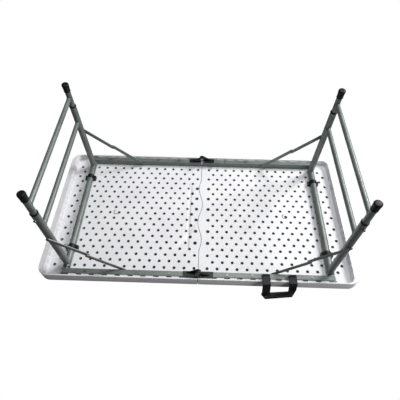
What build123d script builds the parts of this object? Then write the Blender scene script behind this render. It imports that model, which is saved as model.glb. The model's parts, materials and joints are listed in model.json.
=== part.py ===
from build123d import *
import math
import os

os.makedirs("parts", exist_ok=True)

# A fold-in-half utility table, set down on its use face with the legs standing up.
# X runs along the table, Y from front to back, Z up; the origin is the middle of the use face.

# Driving dimensions, in millimetres
table_length = 1220.0
table_width = 610.0
rim_height = 50.0
deck_height = 20.0
side_rim = 6.0
end_rim = 24.0
corner_radius = 40.0
pocket_radius = 24.0
skin = 3.0
edge_round = 5.0
fold_gap = 2.0
wave_depth = 8.5
wave_half = 88.0
wave_shift = 9.0

rail_width = 20.0
rail_height = 27.0
rail_wall = 1.6
rail_side_gap = 13.0
rail_overrun = 10.0
rail_start = 1.0
screw_x = (110.0, 205.0)
end_screw_inset = 77.0
screw_radius = 2.0
screw_head = 5.0
screw_head_thick = 2.0
screw_reach = 11.0
lug_pitch = 49.0
lug_length = 28.0
lug_first = 85.0
lug_end_gap = 15.0

hinge_height = 68.0
hinge_knuckle = 11.0
hinge_pin = 4.0
leaf_length = 57.0
leaf_start = 12.0
leaf_thick = 3.0
ear_thick = 4.0

pivot_inset = 103.0
pivot_rise = 2.8
pivot_tube = 13.2
pivot_wall = 1.5
pivot_pin = 7.0
saddle_y = 178.0
saddle_width = 18.0
saddle_half = 23.0
saddle_wall = 2.6

leg_radius = 12.7
leg_wall = 1.2
leg_top = 391.0
inner_radius = 10.5
inner_wall = 1.2
inner_overlap = 281.0
inner_top = 480.0
crossbar_radius = 9.0
crossbar_z = 313.0
foot_bar_z = 434.0
foot_bar_radius = 8.5
cap_radius = 13.4
cap_length = 34.0
cap_end = 498.0
lock_z = 372.0
lock_hole = 3.2
lock_shank = 2.8
lock_clear = 0.3
lock_head = 5.0
lock_head_gap = 4.2
lock_head_thick = 2.5

link_thick = 3.0
link_width = 16.0
brace_leg_z = 250.0
brace_reach = 223.0
upper_link = 150.0
rivet_radius = 3.0
leg_to_link = 1.3
link_to_link = 2.0
link_to_rail = 2.0

handle_x = 305.0
handle_width = 129.0
strap_width = 30.0
strap_thick = 7.0
strap_overhang = 40.0
grip_depth = 24.0
grip_height = 13.0

run_fit = 0.05
face_gap = 0.3

# Places worked out from the driving dimensions
half_length = table_length / 2
half_width = table_width / 2
wall_y = half_width - side_rim
rail_outer = half_width - rail_side_gap
rail_inner = rail_outer - rail_width
rail_mid = rail_outer - rail_width / 2
rail_top = deck_height + rail_height
pivot_x = half_length - pivot_inset
pivot_z = deck_height + pivot_rise + pivot_tube
rail_end = pivot_x + rail_overrun
brace_rail_x = pivot_x - brace_reach
strap_reach = half_width + strap_overhang
rail_screw_x = (*screw_x, pivot_x - end_screw_inset)
lug_count = int((pivot_x - lug_end_gap - lug_length / 2 - lug_first) // lug_pitch) + 1
lower_inner = rail_inner - link_to_rail - link_thick
link_inner = lower_inner - link_to_link - link_thick
leg_face = link_inner - leg_to_link
leg_y = leg_face - leg_radius
link_run = math.hypot(pivot_x - brace_rail_x, brace_leg_z - pivot_z)
lower_link = link_run - upper_link
link_lean = math.degrees(math.atan2(brace_leg_z - pivot_z, pivot_x - brace_rail_x))
mid_x = pivot_x - upper_link * math.cos(math.radians(link_lean))
mid_z = brace_leg_z - upper_link * math.sin(math.radians(link_lean))

SIDES = (("left", -1), ("right", 1))
ENDS = (("front", -1), ("back", 1))


def save(part, name):
    """Label one finished piece and write it as its own STEP file."""
    part.label = name
    export_step(part, f"parts/{name}.step")


def along_y(x, y, z, way):
    """A plane that faces front (way -1) or back (way +1), with its middle at x, y, z."""
    return Plane(origin=(x, y * way, z), x_dir=(1, 0, 0), z_dir=(0, way, 0))


def upright(y, thick, way):
    """The XZ plane whose extrusion by thick fills y to y + thick, away from the middle."""
    return Plane.XZ.offset(-(y + thick)) if way > 0 else Plane.XZ.offset(y)


def wave_points(shift):
    """The fold line's S-waves, from back to front, moved along X by shift."""
    steps = 16
    start = 2 * wave_half + wave_shift
    for i in range(steps + 1):
        y = start - 4 * wave_half * i / steps
        yield (shift - wave_depth * math.sin(math.pi * (start - y) / wave_half), y)


# Tabletop halves: hollow blow-moulded plastic, a flat deck with a raised rim and rail lugs
for side, s in SIDES:
    edge = list(wave_points(s * fold_gap / 2))
    with BuildPart() as tabletop:
        with BuildSketch():
            with BuildLine():
                Spline(*edge)
                Line(edge[-1], (s * fold_gap / 2, -half_width))
                Line((s * fold_gap / 2, -half_width), (s * half_length, -half_width))
                Line((s * half_length, -half_width), (s * half_length, half_width))
                Line((s * half_length, half_width), (s * fold_gap / 2, half_width))
                Line((s * fold_gap / 2, half_width), edge[0])
            make_face()
        extrude(amount=rim_height)
        corners = tabletop.edges().filter_by(Axis.Z).group_by(Axis.X)[-1 if s > 0 else 0]
        fillet(corners, corner_radius)
        outline = tabletop.faces().sort_by(Axis.Z)[0].edges()
        fillet([e for e in outline if abs(e.center().X) > 2 * wave_depth], edge_round)
        pocket_x = half_length - end_rim
        with BuildSketch(Plane.XY.offset(deck_height)):
            with Locations((s * (pocket_x - 20) / 2, 0)):
                Rectangle(pocket_x + 20, 2 * wall_y)
        extrude(amount=rim_height - deck_height, mode=Mode.SUBTRACT)
        pocket_corners = (
            tabletop.edges()
            .filter_by(Axis.Z)
            .filter_by(lambda e: abs(abs(e.center().X) - pocket_x) < 0.1)
        )
        fillet(pocket_corners, pocket_radius)
        lug_x = [lug_first + lug_pitch * i - lug_length / 2 for i in range(lug_count)]
        with BuildSketch(Plane.XY.offset(deck_height)):
            for way in (-1, 1):
                depth = wall_y - rail_outer - face_gap
                spots = [(s * (x + lug_length / 2), way * (wall_y - depth / 2)) for x in lug_x]
                with Locations(*spots):
                    Rectangle(lug_length, depth)
        extrude(amount=rail_height - skin)
        with BuildSketch(Plane.XY.offset(skin)):
            with Locations((s * (half_length + wave_depth) / 2, 0)):
                Rectangle(half_length - 4 * wave_depth, 2 * rail_inner - 4 * skin)
        extrude(amount=deck_height - 2 * skin, mode=Mode.SUBTRACT)
        with Locations(*[(s * x, w * rail_mid, deck_height) for x in rail_screw_x for w in (-1, 1)]):
            Hole(radius=screw_radius + run_fit, depth=screw_reach + 1)
    save(tabletop.part, f"tabletop_{side}")

# Side rails: steel channel, open towards the deck, with bearings for the leg pivots
for side, s in SIDES:
    for end, w in ENDS:
        with BuildPart() as rail:
            with BuildSketch(Plane.XY.offset(deck_height)):
                with Locations((s * (rail_start + rail_end) / 2, w * rail_mid)):
                    Rectangle(rail_end - rail_start, rail_width)
            extrude(amount=rail_height)
            tops = rail.faces().sort_by(Axis.Z)[-1].edges().filter_by(Axis.X)
            fillet(tops, rail_wall)
            with BuildSketch(Plane.XY.offset(deck_height)):
                with Locations((s * (rail_start + rail_end) / 2, w * rail_mid)):
                    Rectangle(rail_end - rail_start, rail_width - 2 * rail_wall)
            extrude(amount=rail_height - rail_wall, mode=Mode.SUBTRACT)
            with BuildSketch(along_y(s * pivot_x, rail_inner - 1, pivot_z, w)):
                Circle(pivot_pin + run_fit)
            extrude(amount=rail_width + 2, mode=Mode.SUBTRACT)
            with BuildSketch(along_y(s * brace_rail_x, rail_inner - 1, pivot_z, w)):
                Circle(rivet_radius + 0.02)
            extrude(amount=rail_wall + 1, mode=Mode.SUBTRACT)
            with Locations(*[(s * x, w * rail_mid, rail_top) for x in rail_screw_x]):
                Hole(radius=screw_radius + 0.3, depth=rail_wall * 2)
        save(rail.part, f"rail_{end}_{side}")

# Rail screws: pan heads on the rail, shanks down into the solid strip of the deck
for side, s in SIDES:
    with BuildPart() as screws:
        spots = [(s * x, w * rail_mid) for x in rail_screw_x for w in (-1, 1)]
        with BuildSketch(Plane.XY.offset(rail_top)):
            with Locations(*spots):
                Circle(screw_head)
        extrude(amount=screw_head_thick)
        with BuildSketch(Plane.XY.offset(deck_height - screw_reach)):
            with Locations(*spots):
                Circle(screw_radius)
        extrude(amount=rail_height + screw_reach)
    save(screws.part, f"rail_screws_{side}")

# Centre hinge leaves: pressed plates on the rail ends, arched up to a raised knuckle
for side, s in SIDES:
    ear_y = rail_inner + (4 if s < 0 else 12)
    for end, w in ENDS:
        with BuildPart() as leaf:
            with BuildSketch(Plane.XY.offset(rail_top)):
                with Locations((s * (leaf_length + leaf_start) / 2, w * rail_mid)):
                    Rectangle(leaf_length - leaf_start, rail_width)
            extrude(amount=leaf_thick)
            with BuildSketch(upright(ear_y, ear_thick, w)):
                with Locations((0, hinge_height)):
                    Circle(hinge_knuckle)
                with Locations((s * 28, rail_top + leaf_thick / 2)):
                    Rectangle(32, leaf_thick)
                make_hull()
            extrude(amount=ear_thick)
            with BuildSketch(along_y(0, rail_inner, hinge_height, w)):
                Circle(hinge_pin + run_fit)
            extrude(amount=rail_width, mode=Mode.SUBTRACT)
        save(leaf.part, f"hinge_leaf_{end}_{side}")

# Hinge pins: one rivet through each pair of leaves, free to turn in both
with BuildPart() as hinge_pins:
    for w in (-1, 1):
        with BuildSketch(along_y(0, rail_inner + 3, hinge_height, w)):
            Circle(hinge_pin)
        extrude(amount=14)
        with BuildSketch(along_y(0, rail_inner + 2, hinge_height, w)):
            Circle(hinge_pin + 3)
        extrude(amount=1.5)
        with BuildSketch(along_y(0, rail_inner + 16.5, hinge_height, w)):
            Circle(hinge_pin + 3)
        extrude(amount=1.5)
save(hinge_pins.part, "hinge_pins")

# Pivot saddles: plastic bearing blocks on the deck that hold each pivot tube
for side, s in SIDES:
    with BuildPart() as saddles:
        for w in (-1, 1):
            with BuildSketch(upright(saddle_y - saddle_width / 2, saddle_width, w)):
                with Locations((s * pivot_x, (deck_height + pivot_z) / 2)):
                    Rectangle(2 * saddle_half, pivot_z - deck_height)
                with Locations((s * pivot_x, pivot_z)):
                    Circle(pivot_tube + saddle_wall)
                with Locations((s * pivot_x, pivot_z)):
                    Circle(pivot_tube + run_fit, mode=Mode.SUBTRACT)
                with Locations((s * pivot_x, deck_height - saddle_half)):
                    Rectangle(4 * saddle_half, 2 * saddle_half, mode=Mode.SUBTRACT)
            extrude(amount=saddle_width)
    save(saddles.part, f"pivot_saddles_{side}")

# Pivot tabs: V-shaped steel washers that close the rail bearing on its outer face
for side, s in SIDES:
    with BuildPart() as tabs:
        for w in (-1, 1):
            with BuildSketch(upright(rail_outer + face_gap, 2.4, w)):
                with Locations((s * pivot_x, pivot_z)):
                    Circle(10.5)
                with Locations((s * pivot_x, rail_top - 2)):
                    Rectangle(30, 4)
                make_hull()
                with Locations((s * pivot_x, pivot_z)):
                    Circle(pivot_pin + run_fit, mode=Mode.SUBTRACT)
            extrude(amount=2.4)
    save(tabs.part, f"pivot_tabs_{side}")

# Brace studs: shouldered rivets on the inner face of each rail
for side, s in SIDES:
    with BuildPart() as studs:
        for w in (-1, 1):
            with BuildSketch(along_y(s * brace_rail_x, lower_inner - 0.3, pivot_z, w)):
                Circle(rivet_radius)
            extrude(amount=rail_inner - lower_inner + rail_wall + 0.3)
            with BuildSketch(along_y(s * brace_rail_x, lower_inner - 1.3, pivot_z, w)):
                Circle(rivet_radius + 1.2)
            extrude(amount=1.0)
    save(studs.part, f"brace_studs_{side}")

# Leg pivot tubes, one across the table for each leg, with turned pins in their ends
for side, s in SIDES:
    with BuildPart() as pivot:
        with BuildSketch(along_y(s * pivot_x, -leg_face - 1, pivot_z, 1)):
            Circle(pivot_tube)
            Circle(pivot_tube - pivot_wall, mode=Mode.SUBTRACT)
        extrude(amount=2 * leg_face + 2)
    save(pivot.part, f"pivot_tube_{side}")
    with BuildPart() as pins:
        for w in (-1, 1):
            with BuildSketch(along_y(s * pivot_x, leg_face + 1, pivot_z, w)):
                Circle(pivot_tube)
            extrude(amount=2)
            with BuildSketch(along_y(s * pivot_x, leg_face + 3, pivot_z, w)):
                Circle(pivot_pin)
            extrude(amount=wall_y - leg_face - 4)
    save(pins.part, f"pivot_pins_{side}")

# Outer leg tubes, coped and welded on the pivot tube, drilled for the lock and the brace
for side, s in SIDES:
    for end, w in ENDS:
        with BuildPart() as leg:
            with BuildSketch(Plane.XY.offset(pivot_z)):
                with Locations((s * pivot_x, w * leg_y)):
                    Circle(leg_radius)
                    Circle(leg_radius - leg_wall, mode=Mode.SUBTRACT)
            extrude(amount=leg_top - pivot_z)
            with BuildSketch(along_y(s * pivot_x, leg_y - 2 * leg_radius, pivot_z, w)):
                Circle(pivot_tube)
            extrude(amount=4 * leg_radius, mode=Mode.SUBTRACT)
            with BuildSketch(along_y(s * pivot_x, leg_y, brace_leg_z, w)):
                Circle(rivet_radius + 0.02)
            extrude(amount=2 * leg_radius, mode=Mode.SUBTRACT)
            with BuildSketch(along_y(s * pivot_x, leg_y, lock_z, w)):
                Circle(lock_hole)
            extrude(amount=2 * leg_radius, mode=Mode.SUBTRACT)
        save(leg.part, f"leg_tube_{side}_{end}")

# Upper leg crossbars, butted between the two outer tubes of a leg
for side, s in SIDES:
    with BuildPart() as crossbar:
        with BuildSketch(along_y(s * pivot_x, -leg_y, crossbar_z, 1)):
            Circle(crossbar_radius)
            Circle(crossbar_radius - leg_wall, mode=Mode.SUBTRACT)
        extrude(amount=2 * leg_y)
        for w in (-1, 1):
            with BuildSketch(Plane.XY.offset(crossbar_z - 2 * crossbar_radius)):
                with Locations((s * pivot_x, w * leg_y)):
                    Circle(leg_radius)
            extrude(amount=4 * crossbar_radius, mode=Mode.SUBTRACT)
    save(crossbar.part, f"leg_crossbar_{side}")

# Leg collars: plastic guide rings in the mouths of the outer tubes
for side, s in SIDES:
    with BuildPart() as collars:
        spots = [(s * pivot_x, w * leg_y) for w in (-1, 1)]
        with BuildSketch(Plane.XY.offset(leg_top)):
            with Locations(*spots):
                Circle(leg_radius + 0.8)
                Circle(inner_radius + run_fit, mode=Mode.SUBTRACT)
        extrude(amount=6)
        with BuildSketch(Plane.XY.offset(leg_top - 8)):
            with Locations(*spots):
                Circle(leg_radius - leg_wall)
                Circle(inner_radius + run_fit, mode=Mode.SUBTRACT)
        extrude(amount=8)
    save(collars.part, f"leg_collars_{side}")

# Brace rivets: fixed in the outer wall of each leg tube
for side, s in SIDES:
    with BuildPart() as rivets:
        for w in (-1, 1):
            with BuildSketch(along_y(s * pivot_x, leg_face - leg_wall, brace_leg_z, w)):
                Circle(rivet_radius)
            extrude(amount=link_inner + link_thick - leg_face + leg_wall + 0.1)
            with BuildSketch(along_y(s * pivot_x, link_inner + link_thick + 0.1, brace_leg_z, w)):
                Circle(rivet_radius + 1.2)
            extrude(amount=1.0)
    save(rivets.part, f"brace_rivets_{side}")

# Inner leg tubes, sliding in the outer tubes, with the hole that the lock plunger enters
for side, s in SIDES:
    for end, w in ENDS:
        with BuildPart() as inner:
            with BuildSketch(Plane.XY.offset(leg_top - inner_overlap)):
                with Locations((s * pivot_x, w * leg_y)):
                    Circle(inner_radius)
                    Circle(inner_radius - inner_wall, mode=Mode.SUBTRACT)
            extrude(amount=inner_top - leg_top + inner_overlap)
            with BuildSketch(along_y(s * pivot_x, leg_y, lock_z, w)):
                Circle(lock_hole)
            extrude(amount=2 * leg_radius, mode=Mode.SUBTRACT)
        save(inner.part, f"inner_tube_{side}_{end}")
        with BuildPart() as cap:
            with BuildSketch(Plane.XY.offset(cap_end - cap_length)):
                with Locations((s * pivot_x, w * leg_y)):
                    Circle(cap_radius)
            extrude(amount=cap_length)
            fillet(cap.faces().sort_by(Axis.Z)[-1].edges(), 4)
            fillet(cap.faces().sort_by(Axis.Z)[0].edges(), 1)
            with BuildSketch(Plane.XY.offset(cap_end - cap_length)):
                with Locations((s * pivot_x, w * leg_y)):
                    Circle(inner_radius)
            extrude(amount=inner_top - cap_end + cap_length, mode=Mode.SUBTRACT)
        save(cap.part, f"foot_cap_{side}_{end}")

# Foot crossbars, butted between the two inner tubes of a leg
for side, s in SIDES:
    with BuildPart() as foot_bar:
        with BuildSketch(along_y(s * pivot_x, -leg_y, foot_bar_z, 1)):
            Circle(foot_bar_radius)
            Circle(foot_bar_radius - inner_wall, mode=Mode.SUBTRACT)
        extrude(amount=2 * leg_y)
        for w in (-1, 1):
            with BuildSketch(Plane.XY.offset(foot_bar_z - 2 * foot_bar_radius)):
                with Locations((s * pivot_x, w * leg_y)):
                    Circle(inner_radius)
            extrude(amount=4 * foot_bar_radius, mode=Mode.SUBTRACT)
    save(foot_bar.part, f"foot_crossbar_{side}")

# Leg locks: round-headed spring pins near the mouths of the outer tubes, drawn out at rest
for side, s in SIDES:
    for end, w in ENDS:
        with BuildPart() as lock:
            with BuildSketch(along_y(s * pivot_x, leg_y + inner_radius + lock_clear, lock_z, w)):
                Circle(lock_shank)
            extrude(amount=leg_radius - inner_radius - lock_clear + lock_head_gap + 0.4)
            with BuildSketch(along_y(s * pivot_x, leg_face + lock_head_gap, lock_z, w)):
                Circle(lock_head)
            extrude(amount=lock_head_thick)
            fillet(lock.faces().sort_by(Axis.Y)[-1 if w > 0 else 0].edges(), 1)
        save(lock.part, f"leg_lock_{side}_{end}")

# Folding braces: an upper link on the leg and a lower link on the rail, side by side
for side, s in SIDES:
    for end, w in ENDS:
        lean = link_lean if s > 0 else -link_lean
        with BuildPart() as upper:
            with BuildSketch(upright(link_inner, link_thick, w)):
                with Locations(((s * (pivot_x + mid_x) / 2), (brace_leg_z + mid_z) / 2)):
                    SlotCenterToCenter(upper_link, link_width, rotation=lean)
                with Locations((s * pivot_x, brace_leg_z)):
                    Circle(rivet_radius + run_fit, mode=Mode.SUBTRACT)
            extrude(amount=link_thick)
            with BuildSketch(along_y(s * mid_x, link_inner - 0.8, mid_z, w)):
                Circle(rivet_radius + 1.5)
            extrude(amount=0.8)
        save(upper.part, f"brace_upper_{side}_{end}")
        with BuildPart() as lower:
            with BuildSketch(upright(lower_inner, link_thick, w)):
                middle = (s * (brace_rail_x + mid_x) / 2, (pivot_z + mid_z) / 2)
                with Locations(middle):
                    SlotCenterToCenter(lower_link, link_width, rotation=lean)
                with Locations((s * brace_rail_x, pivot_z)):
                    Circle(rivet_radius + run_fit, mode=Mode.SUBTRACT)
            extrude(amount=link_thick)
            with BuildSketch(along_y(s * mid_x, lower_inner + link_thick, mid_z, w)):
                Circle(rivet_radius + 1.5)
            extrude(amount=1.0)
        save(lower.part, f"brace_lower_{side}_{end}")

# Carry handle: a moulded bail that hangs from two clevises on the front right rail
barrel_z = rail_top + 8.0
strap_x = (handle_width - strap_width) / 2
with BuildPart() as handle:
    with BuildSketch(Plane.YZ.offset(handle_x)) as side_view:
        with Locations((-rail_mid, barrel_z)):
            Circle(5.5)
        with BuildLine():
            Polyline(
                (-rail_mid, barrel_z - strap_thick / 2),
                (-(half_width + 12), barrel_z - strap_thick / 2),
                (-strap_reach + 3, grip_height / 2),
                (-strap_reach - 3, grip_height / 2 + 2),
                (-strap_reach - 3, grip_height / 2 + 6),
                (-(half_width + 16), barrel_z + strap_thick / 2),
                (-rail_mid, barrel_z + strap_thick / 2),
                close=True,
            )
        make_face()
        with Locations((-rail_mid, barrel_z)):
            Circle(2.5 + run_fit, mode=Mode.SUBTRACT)
    extrude(amount=handle_width / 2, both=True)
    clear_width = handle_width - 2 * strap_width
    with BuildSketch(Plane.YZ.offset(handle_x)):
        with Locations((-(rail_mid + strap_reach) / 2 + 11.5, barrel_z - 25)):
            Rectangle(strap_reach - rail_mid + 35, 80)
    extrude(amount=clear_width / 2, both=True, mode=Mode.SUBTRACT)
    for way in (-1, 1):
        with BuildSketch(Plane.YZ.offset(handle_x + way * handle_width / 2)):
            with Locations((-rail_mid, barrel_z)):
                Circle(9)
        extrude(amount=-3.2 * way, mode=Mode.SUBTRACT)
        with BuildSketch(Plane.YZ.offset(handle_x + way * clear_width / 2)):
            with Locations((-rail_mid, barrel_z)):
                Circle(9)
        extrude(amount=3.2 * way, mode=Mode.SUBTRACT)
    with BuildSketch(Plane.YZ.offset(handle_x)):
        with Locations((-strap_reach, grip_height / 2 + 1)):
            RectangleRounded(grip_depth, grip_height, 5)
    extrude(amount=handle_width / 2, both=True)
save(handle.part, "handle")

with BuildPart() as brackets:
    for way in (-1, 1):
        middle = handle_x + way * strap_x
        with BuildSketch(Plane.XY.offset(rail_top)):
            with Locations((middle, -rail_mid)):
                Rectangle(strap_width, 12)
        extrude(amount=1.2)
        for ear in (-1, 1):
            with BuildSketch(Plane.YZ.offset(middle + ear * (strap_width / 2 - 1.3))):
                with Locations((-rail_mid, (rail_top + barrel_z) / 2)):
                    Rectangle(12, barrel_z - rail_top)
                with Locations((-rail_mid, barrel_z)):
                    Circle(6)
                    Circle(2.52, mode=Mode.SUBTRACT)
            extrude(amount=1.1, both=True)
save(brackets.part, "handle_brackets")

with BuildPart() as handle_pins:
    for way in (-1, 1):
        with BuildSketch(Plane.YZ.offset(handle_x + way * strap_x)):
            with Locations((-rail_mid, barrel_z)):
                Circle(2.5)
        extrude(amount=strap_width / 2 + 0.6, both=True)
save(handle_pins.part, "handle_pins")
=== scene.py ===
import bpy
import bmesh
import json
import math
from mathutils import Euler, Matrix, Vector


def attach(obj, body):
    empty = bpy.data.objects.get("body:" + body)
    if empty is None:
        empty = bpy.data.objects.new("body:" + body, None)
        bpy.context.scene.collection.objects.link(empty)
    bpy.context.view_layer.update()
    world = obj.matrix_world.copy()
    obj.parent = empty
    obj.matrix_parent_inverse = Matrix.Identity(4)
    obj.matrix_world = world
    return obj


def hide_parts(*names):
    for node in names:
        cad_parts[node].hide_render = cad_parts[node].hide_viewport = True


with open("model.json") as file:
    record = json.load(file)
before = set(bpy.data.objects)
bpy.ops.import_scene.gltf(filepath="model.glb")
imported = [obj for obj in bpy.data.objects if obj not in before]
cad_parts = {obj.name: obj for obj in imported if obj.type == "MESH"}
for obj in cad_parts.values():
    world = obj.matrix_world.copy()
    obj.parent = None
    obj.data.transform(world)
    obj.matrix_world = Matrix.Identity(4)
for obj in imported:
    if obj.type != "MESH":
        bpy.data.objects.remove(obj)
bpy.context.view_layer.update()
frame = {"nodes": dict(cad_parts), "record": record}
bpy.ops.object.select_all(action="DESELECT")

# Camera: stands in front of a long side and looks steeply down on the upturned table.
# The lens is short, so the near feet spread wide and the far ones close in.
bpy.ops.object.camera_add(location=(0.0187, -0.8332, 1.3297))
camera = bpy.context.object
camera.name = "camera"
turn = Euler((math.radians(36.52), 0, math.radians(1.544))).to_matrix()
turn = turn @ Matrix.Rotation(math.radians(0.284), 3, "Z")
camera.rotation_euler = turn.to_euler()
camera.data.sensor_width = 36
camera.data.lens = 32.376
camera.data.shift_x = 0.0015
camera.data.shift_y = -0.0265
camera.data.clip_start = 0.05
camera.data.clip_end = 50
bpy.context.scene.camera = camera

# Studio: white paper below and all round as the camera sees it, but dim where it lights the
# table, so that the key light from the right and behind leaves the near sides dark.
bpy.ops.mesh.primitive_plane_add(size=30, location=(0, 0, -0.0005))
floor = bpy.context.object
floor.name = "floor"
paper = bpy.data.materials.new("studio_paper")
paper.use_nodes = True
paper_nodes, paper_links = paper.node_tree.nodes, paper.node_tree.links
dull = paper_nodes["Principled BSDF"]
dull.inputs["Base Color"].default_value = (0.20, 0.20, 0.21, 1)
dull.inputs["Roughness"].default_value = 0.95
seen = paper_nodes.new("ShaderNodeEmission")
seen.inputs["Color"].default_value = (1, 1, 1, 1)
seen.inputs["Strength"].default_value = 1.0
ray = paper_nodes.new("ShaderNodeLightPath")
either = paper_nodes.new("ShaderNodeMixShader")
paper_links.new(ray.outputs["Is Camera Ray"], either.inputs["Fac"])
paper_links.new(dull.outputs["BSDF"], either.inputs[1])
paper_links.new(seen.outputs["Emission"], either.inputs[2])
paper_links.new(either.outputs["Shader"], paper_nodes["Material Output"].inputs["Surface"])
floor.data.materials.append(paper)
studio = bpy.data.worlds.new("studio")
studio.use_nodes = True
sky_nodes, sky_links = studio.node_tree.nodes, studio.node_tree.links
sky = sky_nodes["Background"]
sky.inputs["Color"].default_value = (1, 1, 1, 1)
sky_ray = sky_nodes.new("ShaderNodeLightPath")
sky_level = sky_nodes.new("ShaderNodeMapRange")
sky_level.inputs["To Min"].default_value = 0.09
sky_level.inputs["To Max"].default_value = 1.0
sky_links.new(sky_ray.outputs["Is Camera Ray"], sky_level.inputs["Value"])
sky_links.new(sky_level.outputs["Result"], sky.inputs["Strength"])
bpy.context.scene.world = studio
bpy.context.scene.view_settings.view_transform = "Standard"
lamps = (
    ("key", (2.1, 1.3, 2.0), 0.9, 74),
    ("top", (0.3, 0.5, 2.8), 1.4, 41),
    ("front_fill", (2.3, -1.9, 0.9), 1.4, 21),
)
for lamp_name, place, size, power in lamps:
    bpy.ops.object.light_add(type="AREA", location=place)
    lamp = bpy.context.object
    lamp.name = lamp_name
    lamp.data.energy = power
    lamp.data.size = size
    lamp.rotation_euler = Vector(place).to_track_quat("Z", "Y").to_euler()

# Tabletop halves: blow-moulded polythene with dimples pressed in from the underside, two rows
# of wider ones beside the fold, a shallow channel, a blow-pin mark and fluted end rims.
deck = 0.020
row_step = 0.0276
row_offset = 0.0013
column_step = 0.039
saddle_x = 0.507
saddle_y = 0.178
last_dimple = 0.577


def grain_group():
    """Fine bump and soft mottling from two noises on object coordinates."""
    group = bpy.data.node_groups.new("fine_grain", "ShaderNodeTree")
    for name, value in (("Grain Size", 900.0), ("Mottle Size", 14.0), ("Strength", 0.1)):
        socket = group.interface.new_socket(name, in_out="INPUT", socket_type="NodeSocketFloat")
        socket.default_value = value
    group.interface.new_socket("Normal", in_out="OUTPUT", socket_type="NodeSocketVector")
    group.interface.new_socket("Mottle", in_out="OUTPUT", socket_type="NodeSocketFloat")
    nodes, links = group.nodes, group.links
    given = nodes.new("NodeGroupInput")
    put = nodes.new("NodeGroupOutput")
    place = nodes.new("ShaderNodeTexCoord")
    grain = nodes.new("ShaderNodeTexNoise")
    grain.inputs["Detail"].default_value = 3
    mottle = nodes.new("ShaderNodeTexNoise")
    mottle.inputs["Detail"].default_value = 4
    bump = nodes.new("ShaderNodeBump")
    bump.inputs["Distance"].default_value = 0.0004
    links.new(place.outputs["Object"], grain.inputs["Vector"])
    links.new(place.outputs["Object"], mottle.inputs["Vector"])
    links.new(given.outputs["Grain Size"], grain.inputs["Scale"])
    links.new(given.outputs["Mottle Size"], mottle.inputs["Scale"])
    links.new(given.outputs["Strength"], bump.inputs["Strength"])
    links.new(grain.outputs["Fac"], bump.inputs["Height"])
    links.new(bump.outputs["Normal"], put.inputs["Normal"])
    links.new(mottle.outputs["Fac"], put.inputs["Mottle"])
    return group


def finish(name, dark, light, rough, grain_size, strength, mottle_size):
    """A Principled material whose colour and roughness drift between two values."""
    material = bpy.data.materials.new(name)
    material.use_nodes = True
    nodes, links = material.node_tree.nodes, material.node_tree.links
    shader = nodes["Principled BSDF"]
    grain = nodes.new("ShaderNodeGroup")
    grain.node_tree = fine_grain
    grain.inputs["Grain Size"].default_value = grain_size
    grain.inputs["Mottle Size"].default_value = mottle_size
    grain.inputs["Strength"].default_value = strength
    colours = nodes.new("ShaderNodeValToRGB")
    colours.color_ramp.elements[0].position = 0.35
    colours.color_ramp.elements[0].color = (*dark, 1)
    colours.color_ramp.elements[1].position = 0.68
    colours.color_ramp.elements[1].color = (*light, 1)
    shine = nodes.new("ShaderNodeMapRange")
    shine.inputs["To Min"].default_value = rough[0]
    shine.inputs["To Max"].default_value = rough[1]
    links.new(grain.outputs["Mottle"], colours.inputs["Fac"])
    links.new(grain.outputs["Mottle"], shine.inputs["Value"])
    links.new(colours.outputs["Color"], shader.inputs["Base Color"])
    links.new(shine.outputs["Result"], shader.inputs["Roughness"])
    links.new(grain.outputs["Normal"], shader.inputs["Normal"])
    return material


fine_grain = grain_group()
moulded_white = finish(
    "moulded_white", (0.80, 0.80, 0.83), (0.86, 0.86, 0.89), (0.36, 0.5), 700.0, 0.14, 9.0
)
# Painted shade: a dark grey that stands in for the shade inside the dimples, on the fold seam's
# walls, on the fold strip and in the blow-pin mark; the moulded plastic there is white.
painted_shade = finish(
    "painted_shade", (0.16, 0.16, 0.18), (0.24, 0.24, 0.26), (0.5, 0.62), 700.0, 0.14, 9.0
)


def settle(obj):
    """Puts location, turn and scale into the mesh."""
    bpy.ops.object.select_all(action="DESELECT")
    obj.select_set(True)
    bpy.context.view_layer.objects.active = obj
    bpy.ops.object.transform_apply(location=True, rotation=True, scale=True)


def turned(name, outline, steps=32):
    """Spins an outline of (radius, height) pairs, which starts and ends on the axis, about Z."""
    mesh = bpy.data.meshes.new(name)
    obj = bpy.data.objects.new(name, mesh)
    bpy.context.collection.objects.link(obj)
    bpy.ops.object.select_all(action="DESELECT")
    obj.select_set(True)
    bpy.context.view_layer.objects.active = obj
    line = bmesh.new()
    points = [line.verts.new((radius, 0, height)) for radius, height in outline]
    for first, second in zip(points, points[1:]):
        line.edges.new((first, second))
    line.to_mesh(mesh)
    line.free()
    bpy.ops.object.mode_set(mode="EDIT")
    bpy.ops.mesh.select_all(action="SELECT")
    bpy.ops.mesh.spin(steps=steps, angle=2 * math.pi, center=(0, 0, 0), axis=(0, 0, 1))
    bpy.ops.mesh.select_all(action="SELECT")
    bpy.ops.mesh.remove_doubles(threshold=0.000002)
    bpy.ops.mesh.normals_make_consistent(inside=False)
    bpy.ops.object.mode_set(mode="OBJECT")
    return obj


def copies(pattern, places, name):
    """One object that holds the pattern's mesh at each place; the pattern is thrown away."""
    whole = bmesh.new()
    for place in places:
        start = len(whole.verts)
        whole.from_mesh(pattern.data)
        whole.verts.ensure_lookup_table()
        matrix = place if isinstance(place, Matrix) else Matrix.Translation(place)
        bmesh.ops.transform(whole, verts=whole.verts[start:], matrix=matrix)
    mesh = bpy.data.meshes.new(name)
    whole.to_mesh(mesh)
    whole.free()
    for material in pattern.data.materials:
        mesh.materials.append(material)
    bpy.data.objects.remove(pattern, do_unlink=True)
    obj = bpy.data.objects.new(name, mesh)
    bpy.context.collection.objects.link(obj)
    return obj


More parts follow.
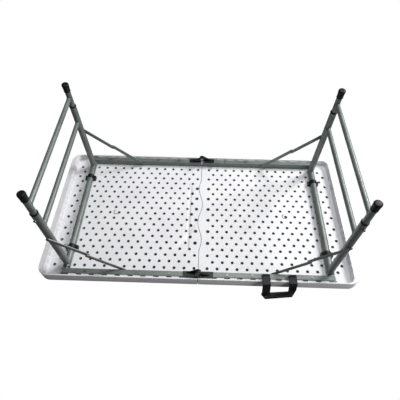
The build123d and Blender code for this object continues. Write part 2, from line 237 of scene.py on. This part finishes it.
def cut_with(target, cutter):
    """Takes the cutter's shape out of the target and throws the cutter away."""
    cut = target.modifiers.new("cut", "BOOLEAN")
    cut.operation = "DIFFERENCE"
    cut.solver = "EXACT"
    cut.material_mode = "TRANSFER"
    cut.object = cutter
    bpy.ops.object.select_all(action="DESELECT")
    bpy.context.view_layer.objects.active = target
    target.select_set(True)
    bpy.ops.object.modifier_apply(modifier="cut")
    bpy.data.objects.remove(cutter, do_unlink=True)


def cad_copy(node, name):
    """A free copy of a CAD mesh, merged by distance, ready for more work."""
    bpy.ops.object.select_all(action="DESELECT")
    copy = bpy.data.objects.new(name, frame["nodes"][node].data.copy())
    bpy.context.collection.objects.link(copy)
    copy.data.materials.clear()
    copy.select_set(True)
    bpy.context.view_layer.objects.active = copy
    bpy.ops.object.mode_set(mode="EDIT")
    bpy.ops.mesh.select_all(action="SELECT")
    bpy.ops.mesh.remove_doubles(threshold=0.00001)
    bpy.ops.mesh.dissolve_limited(angle_limit=math.radians(0.5))
    bpy.ops.object.mode_set(mode="OBJECT")
    return copy


def finished(obj, body, material=None, smooth=32):
    """Shades a piece smooth by angle and hands it to its body."""
    bpy.ops.object.select_all(action="DESELECT")
    obj.select_set(True)
    bpy.context.view_layer.objects.active = obj
    bpy.ops.object.shade_smooth_by_angle(angle=math.radians(smooth))
    if material:
        obj.data.materials.clear()
        obj.data.materials.append(material)
    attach(obj, body)


for side_name, side in (("left", -1), ("right", 1)):
    half = cad_copy(f"tabletop_{side_name}", f"moulded_half_{side_name}")
    shape = bmesh.new()
    shape.from_mesh(half.data)
    hidden = [
        v for v in shape.verts
        if 0.0028 < v.co.z < 0.0172 and abs(v.co.y) < 0.2675 and 0.012 < abs(v.co.x) < 0.598
    ]
    bmesh.ops.delete(shape, geom=hidden, context="VERTS")
    lip = [
        e for e in shape.edges
        if all(v.co.z > 0.0499 for v in e.verts)
        and len(e.link_faces) == 2
        and e.calc_face_angle() > math.radians(60)
        and not all(abs(v.co.x) < 0.012 for v in e.verts)
    ]
    bmesh.ops.bevel(shape, geom=lip, offset=0.0022, segments=3, profile=0.5, affect="EDGES")
    shape.to_mesh(half.data)
    shape.free()
    half.data.materials.append(moulded_white)
    half.data.materials.append(painted_shade)
    # Painted shade: the side walls of the fold seam take the dark grey so that the slit reads as a
    # shaded line.
    for face in half.data.polygons:
        at_seam = all(abs(half.data.vertices[v].co.x) < 0.0125 for v in face.vertices)
        if at_seam and abs(face.normal.z) < 0.3:
            face.material_index = 1

    plain, wide = [], []
    for row in range(-9, 10):
        y = row_offset + row * row_step
        odd = row % 2
        first = (0.034 if odd else 0.0545) if side > 0 else (0.017 if odd else 0.0385)
        for column in range(15):
            x = first + column * column_step
            under_saddle = abs(abs(y) - saddle_y) < 0.019 and abs(x - saddle_x) < 0.034
            if x > last_dimple or under_saddle:
                continue
            at_fold = column == 0 and abs(y) < 0.16 and (side < 0 or odd)
            (wide if at_fold else plain).append((side * x, y, deck))
    # The plugs carry the painted shade, and the cuts leave it on each dimple's walls and floor,
    # where shade would fall.
    plug = turned(
        "plug",
        ((0, 0.0008), (0.0068, 0.0008), (0.0063, -0.0002), (0.0048, -0.0022),
         (0.0038, -0.0115), (0, -0.0128)), 12
    )
    plug.data.materials.append(painted_shade)
    cut_with(half, copies(plug, plain, "dimples"))
    big_plug = turned(
        "big_plug",
        ((0, 0.0008), (0.0082, 0.0008), (0.0077, -0.0002), (0.0062, -0.0022),
         (0.0050, -0.0125), (0, -0.0138)), 16
    )
    big_plug.data.materials.append(painted_shade)
    cut_with(half, copies(big_plug, wide, "fold_dimples"))

    mark_centre = (side * 0.363, 0.0035, deck)
    bpy.ops.mesh.primitive_circle_add(
        vertices=8, radius=0.0019, fill_type="NGON",
        location=(mark_centre[0] + 0.0105, mark_centre[1], deck), rotation=(math.pi / 2, 0, 0),
    )
    mark = bpy.context.object
    settle(mark)
    bpy.ops.object.mode_set(mode="EDIT")
    bpy.ops.mesh.select_all(action="SELECT")
    bpy.ops.mesh.spin(
        steps=22, angle=math.radians(245), center=mark_centre, axis=(0, 0, 1)
    )
    bpy.ops.mesh.select_all(action="SELECT")
    bpy.ops.mesh.normals_make_consistent(inside=False)
    bpy.ops.object.mode_set(mode="OBJECT")
    # The mark's groove takes the painted shade.
    mark.data.materials.append(painted_shade)
    cut_with(half, mark)

    flute = turned(
        "flute", ((0, -0.028), (0.0105, -0.028), (0.0125, -0.022), (0.0135, 0.004), (0, 0.004)), 28
    )
    flute.data.materials.append(moulded_white)
    spots = [(side * 0.5757, row * row_step, 0.0487) for row in range(-9, 10)]
    cut_with(half, copies(flute, spots, "end_flutes"))
    if side < 0:
        bpy.ops.mesh.primitive_cylinder_add(
            vertices=40, radius=0.012, depth=0.33, location=(-0.0475, 0, deck + 0.0098),
            rotation=(math.pi / 2, 0, 0),
        )
        channel = bpy.context.object
        settle(channel)
        channel.data.materials.append(moulded_white)
        cut_with(half, channel)
    finished(half, f"{side_name}_half", smooth=24)
    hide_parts(f"tabletop_{side_name}")

# Fold strip: a thin dark strip in painted shade, low on the left half's fold edge, which closes
# the slit between the halves so that the seam reads as a shaded line, and lifts clear as they
# fold.
wave_depth = 0.0085
wave_half = 0.088
wave_back = 0.185
bpy.ops.mesh.primitive_grid_add(
    x_subdivisions=1, y_subdivisions=140, size=1, location=(-0.0002, 0, 0.0035)
)
lip = bpy.context.object
lip.scale = (0.0018, 0.598, 1)
settle(lip)
for vertex in lip.data.vertices:
    if wave_back - 4 * wave_half < vertex.co.y < wave_back:
        vertex.co.x -= wave_depth * math.sin(math.pi * (wave_back - vertex.co.y) / wave_half)
thick = lip.modifiers.new("thick", "SOLIDIFY")
thick.thickness = 0.002
bpy.ops.object.modifier_apply(modifier="thick")
lip.name = "fold_shade_strip"
finished(lip, "left_half", painted_shade, 30)

# Steel frame: tubes and channels in grey-green hammertone enamel, which pulls into small
# flat blisters as it dries. The tone drifts along each length and the high spots are paler.
hammertone = bpy.data.materials.new("hammertone_enamel")
hammertone.use_nodes = True
paint_nodes, paint_links = hammertone.node_tree.nodes, hammertone.node_tree.links
paint = paint_nodes["Principled BSDF"]
paint.inputs["Metallic"].default_value = 0.25
paint.inputs["Coat Roughness"].default_value = 0.25
paint.inputs["Coat Weight"].default_value = 0.3
paint_place = paint_nodes.new("ShaderNodeTexCoord")
blisters = paint_nodes.new("ShaderNodeTexVoronoi")
blisters.feature = "SMOOTH_F1"
blisters.inputs["Scale"].default_value = 300
blister_bump = paint_nodes.new("ShaderNodeBump")
blister_bump.inputs["Strength"].default_value = 0.16
blister_bump.inputs["Distance"].default_value = 0.0006
clouds = paint_nodes.new("ShaderNodeTexNoise")
clouds.inputs["Scale"].default_value = 22
clouds.inputs["Detail"].default_value = 6
tone = paint_nodes.new("ShaderNodeValToRGB")
tone.color_ramp.elements[0].position = 0.3
tone.color_ramp.elements[0].color = (0.100, 0.124, 0.112, 1)
tone.color_ramp.elements[1].position = 0.72
tone.color_ramp.elements[1].color = (0.165, 0.194, 0.178, 1)
flake = paint_nodes.new("ShaderNodeMix")
flake.data_type = "RGBA"
flake.inputs["B"].default_value = (0.26, 0.29, 0.27, 1)
flake_amount = paint_nodes.new("ShaderNodeMapRange")
flake_amount.inputs["From Min"].default_value = 0.25
flake_amount.inputs["From Max"].default_value = 0.75
flake_amount.inputs["To Max"].default_value = 0.25
paint_rough = paint_nodes.new("ShaderNodeMapRange")
paint_rough.inputs["To Min"].default_value = 0.40
paint_rough.inputs["To Max"].default_value = 0.55
paint_links.new(paint_place.outputs["Object"], blisters.inputs["Vector"])
paint_links.new(paint_place.outputs["Object"], clouds.inputs["Vector"])
paint_links.new(blisters.outputs["Distance"], blister_bump.inputs["Height"])
paint_links.new(blister_bump.outputs["Normal"], paint.inputs["Normal"])
paint_links.new(clouds.outputs["Fac"], tone.inputs["Fac"])
paint_links.new(blisters.outputs["Distance"], flake_amount.inputs["Value"])
paint_links.new(flake_amount.outputs["Result"], flake.inputs["Factor"])
paint_links.new(tone.outputs["Color"], flake.inputs["A"])
paint_links.new(flake.outputs["Result"], paint.inputs["Base Color"])
paint_links.new(clouds.outputs["Fac"], paint_rough.inputs["Value"])
paint_links.new(paint_rough.outputs["Result"], paint.inputs["Roughness"])

# Black mouldings and zinc fasteners: polypropylene for feet, saddles, collars and the handle;
# black enamel on the hinge leaves; zinc plate on pins, rivets and screws.
moulded_black = finish(
    "moulded_black", (0.004, 0.004, 0.005), (0.010, 0.010, 0.011), (0.38, 0.52), 1100.0, 0.22, 30.0
)
black_enamel = finish(
    "black_enamel", (0.005, 0.006, 0.006), (0.014, 0.015, 0.016), (0.3, 0.42), 500.0, 0.2, 40.0
)
zinc_plate = finish(
    "zinc_plate", (0.13, 0.14, 0.14), (0.23, 0.24, 0.23), (0.3, 0.45), 1500.0, 0.12, 60.0
)
zinc_plate.node_tree.nodes["Principled BSDF"].inputs["Metallic"].default_value = 0.85
for black in (moulded_black, black_enamel):
    black.node_tree.nodes["Principled BSDF"].inputs["Specular IOR Level"].default_value = 0.22
finishes = {
    "white_plastic": moulded_white,
    "hammertone_steel": hammertone,
    "black_plastic": moulded_black,
    "black_steel": black_enamel,
    "zinc_steel": zinc_plate,
}
for subpart in frame["record"]["subparts"]:
    for slot in frame["nodes"][subpart["node"]].material_slots:
        slot.material = finishes[subpart["material_slot"]]

# Weld beads: short ripples run round each crossbar end and along each leg foot, laid before
# the frame is painted, so they carry the same enamel.
leg_x = 0.507
leg_y = 0.248
leg_radius = 0.0127
inner_radius = 0.0105
pivot_radius = 0.0132
pivot_height = 0.036
ripple_radius = 0.0016
for side_name, side in (("left", -1), ("right", 1)):
    for body, height, bar, tube in (
        (f"{side_name}_leg", 0.313, 0.0090, leg_radius),
        (f"{side_name}_leg_extension", 0.434, 0.0085, inner_radius),
    ):
        ring = []
        for end in (-1, 1):
            for step in range(26):
                angle = 2 * math.pi * step / 26
                across = (bar + 0.0004) * math.cos(angle)
                depth = math.sqrt(max(tube * tube - across * across, 0))
                spot = (side * leg_x + across, end * (leg_y - depth - 0.0003),
                        height + (bar + 0.0004) * math.sin(angle))
                ring.append(spot)
        bpy.ops.mesh.primitive_ico_sphere_add(subdivisions=1, radius=ripple_radius)
        ripple = bpy.context.object
        kind = "foot" if "extension" in body else "upper"
        bead = copies(ripple, ring, f"weld_{kind}_bar_{side_name}")
        finished(bead, body, hammertone, 60)
    seam = []
    for end in (-1, 1):
        for step in range(30):
            angle = 2 * math.pi * step / 30
            across = leg_radius * math.sin(angle)
            rise = math.sqrt(pivot_radius ** 2 - across * across)
            along = end * leg_y + leg_radius * math.cos(angle)
            seam.append((side * leg_x + across, along, pivot_height + rise))
    bpy.ops.mesh.primitive_ico_sphere_add(subdivisions=1, radius=ripple_radius)
    bead = copies(bpy.context.object, seam, f"weld_leg_foot_{side_name}")
    finished(bead, f"{side_name}_leg", hammertone, 60)

# Foot caps: black polypropylene cups pushed over the inner tubes, with a beaded mouth, three
# grip grooves and a domed tread.
cap_outline = (
    (0, 0.4815), (0.0106, 0.4815), (0.0106, 0.4641), (0.0119, 0.4641), (0.0124, 0.4650),
    (0.0124, 0.4676), (0.0117, 0.4684), (0.0118, 0.4730), (0.0122, 0.4738), (0.0118, 0.4746),
    (0.0122, 0.4790), (0.0126, 0.4798), (0.0122, 0.4806), (0.0128, 0.4850), (0.0133, 0.4900),
    (0.0133, 0.4930), (0.0126, 0.4960), (0.0108, 0.4976), (0.0070, 0.4979), (0, 0.4979),
)
for side_name, side in (("left", -1), ("right", 1)):
    for end_name, end in (("front", -1), ("back", 1)):
        cap = turned("cap", cap_outline, 40)
        cap = copies(cap, [(side * leg_x, end * leg_y, 0)], f"foot_{side_name}_{end_name}")
        finished(cap, f"{side_name}_leg_extension", moulded_black, 40)
        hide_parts(f"foot_cap_{side_name}_{end_name}")

# Guide collars: black rings with rounded lips at the mouths of the outer tubes.
collar_outline = ((0.0106, 0.3832), (0.0115, 0.3832), (0.0115, 0.3911), (0.0130, 0.3911),
                  (0.01345, 0.3918), (0.01345, 0.3958), (0.0128, 0.3968), (0.0106, 0.3968))
for side_name, side in (("left", -1), ("right", 1)):
    ring = turned("collar", (*collar_outline, collar_outline[0]), 40)
    spots = [(side * leg_x, end * leg_y, 0) for end in (-1, 1)]
    ring = copies(ring, spots, f"mouth_rings_{side_name}")
    finished(ring, f"{side_name}_leg", moulded_black, 40)
    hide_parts(f"leg_collars_{side_name}")

# Brace ribs and rivets: each pressed link carries a raised stiffening rib on its outer face
# and a domed black rivet at the middle joint.
leg_pin = Vector((leg_x, 0, 0.250))
rail_pin = Vector((0.284, 0, 0.036))
run = (rail_pin - leg_pin).normalized()
middle = leg_pin + run * 0.150
rib_margin = 0.014
upper_face = 0.2650
lower_face = 0.2700
rivet_face = 0.2620


def joined(parts, name):
    """Joins objects into one, settled and named."""
    for part in parts:
        settle(part)
    bpy.ops.object.select_all(action="DESELECT")
    for part in parts:
        part.select_set(True)
    bpy.context.view_layer.objects.active = parts[0]
    if len(parts) > 1:
        bpy.ops.object.join()
    parts[0].name = name
    return parts[0]


for side_name, side in (("left", -1), ("right", 1)):
    for link, face, start, stop in (
        ("upper", upper_face, leg_pin + run * rib_margin, middle - run * rib_margin),
        ("lower", lower_face, middle + run * rib_margin, rail_pin - run * rib_margin),
    ):
        ribs = []
        for end in (-1, 1):
            centre = (start + stop) / 2
            lean = math.atan2(run.z, side * run.x)
            bpy.ops.mesh.primitive_uv_sphere_add(segments=16, ring_count=10, radius=1)
            rib = bpy.context.object
            rib.location = (side * centre.x, end * (face - 0.0002), centre.z)
            rib.scale = ((stop - start).length / 2, 0.0016, 0.0026)
            rib.rotation_euler = (0, -lean, 0)
            ribs.append(rib)
        rib = joined(ribs, f"brace_rib_{link}_{side_name}")
        finished(rib, f"{side_name}_{link}_braces", hammertone, 60)
    domes = []
    for end in (-1, 1):
        bpy.ops.mesh.primitive_uv_sphere_add(segments=24, ring_count=12, radius=1)
        dome = bpy.context.object
        dome.location = (side * middle.x, end * rivet_face, middle.z)
        dome.scale = (0.0052, 0.0007, 0.0052)
        domes.append(dome)
    dome = joined(domes, f"brace_rivet_heads_{side_name}")
    finished(dome, f"{side_name}_upper_braces", black_enamel, 60)

# Carry handle: a soft black bail, rounded all over and hanging a little askew, so its left
# corner reaches farther than its right.
bail_left = 0.2405
bail_width = 0.129
bail_front = -0.357
corner_cut = 0.014
skew = 0.014
grip = cad_copy("handle", "bail")
bpy.ops.object.mode_set(mode="EDIT")
for x, lean in ((bail_left, -1), (bail_left + bail_width, 1)):
    bpy.ops.mesh.select_all(action="SELECT")
    bpy.ops.mesh.bisect(
        plane_co=(x - lean * corner_cut, bail_front, 0), plane_no=(lean * 0.8, -0.6, 0),
        use_fill=True, clear_outer=True,
    )
bpy.ops.object.mode_set(mode="OBJECT")
grip.data.remesh_voxel_size = 0.0013
grip.data.use_remesh_preserve_volume = True
bpy.ops.object.voxel_remesh()
soften = grip.modifiers.new("soften", "SMOOTH")
soften.factor = 0.5
soften.iterations = 10
bpy.ops.object.modifier_apply(modifier="soften")
for vertex in grip.data.vertices:
    hang = min(max((-0.300 - vertex.co.y) / 0.040, 0), 1)
    vertex.co.y += skew * hang * (vertex.co.x - bail_left) / bail_width
finished(grip, "handle", moulded_black, 60)
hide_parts("handle")
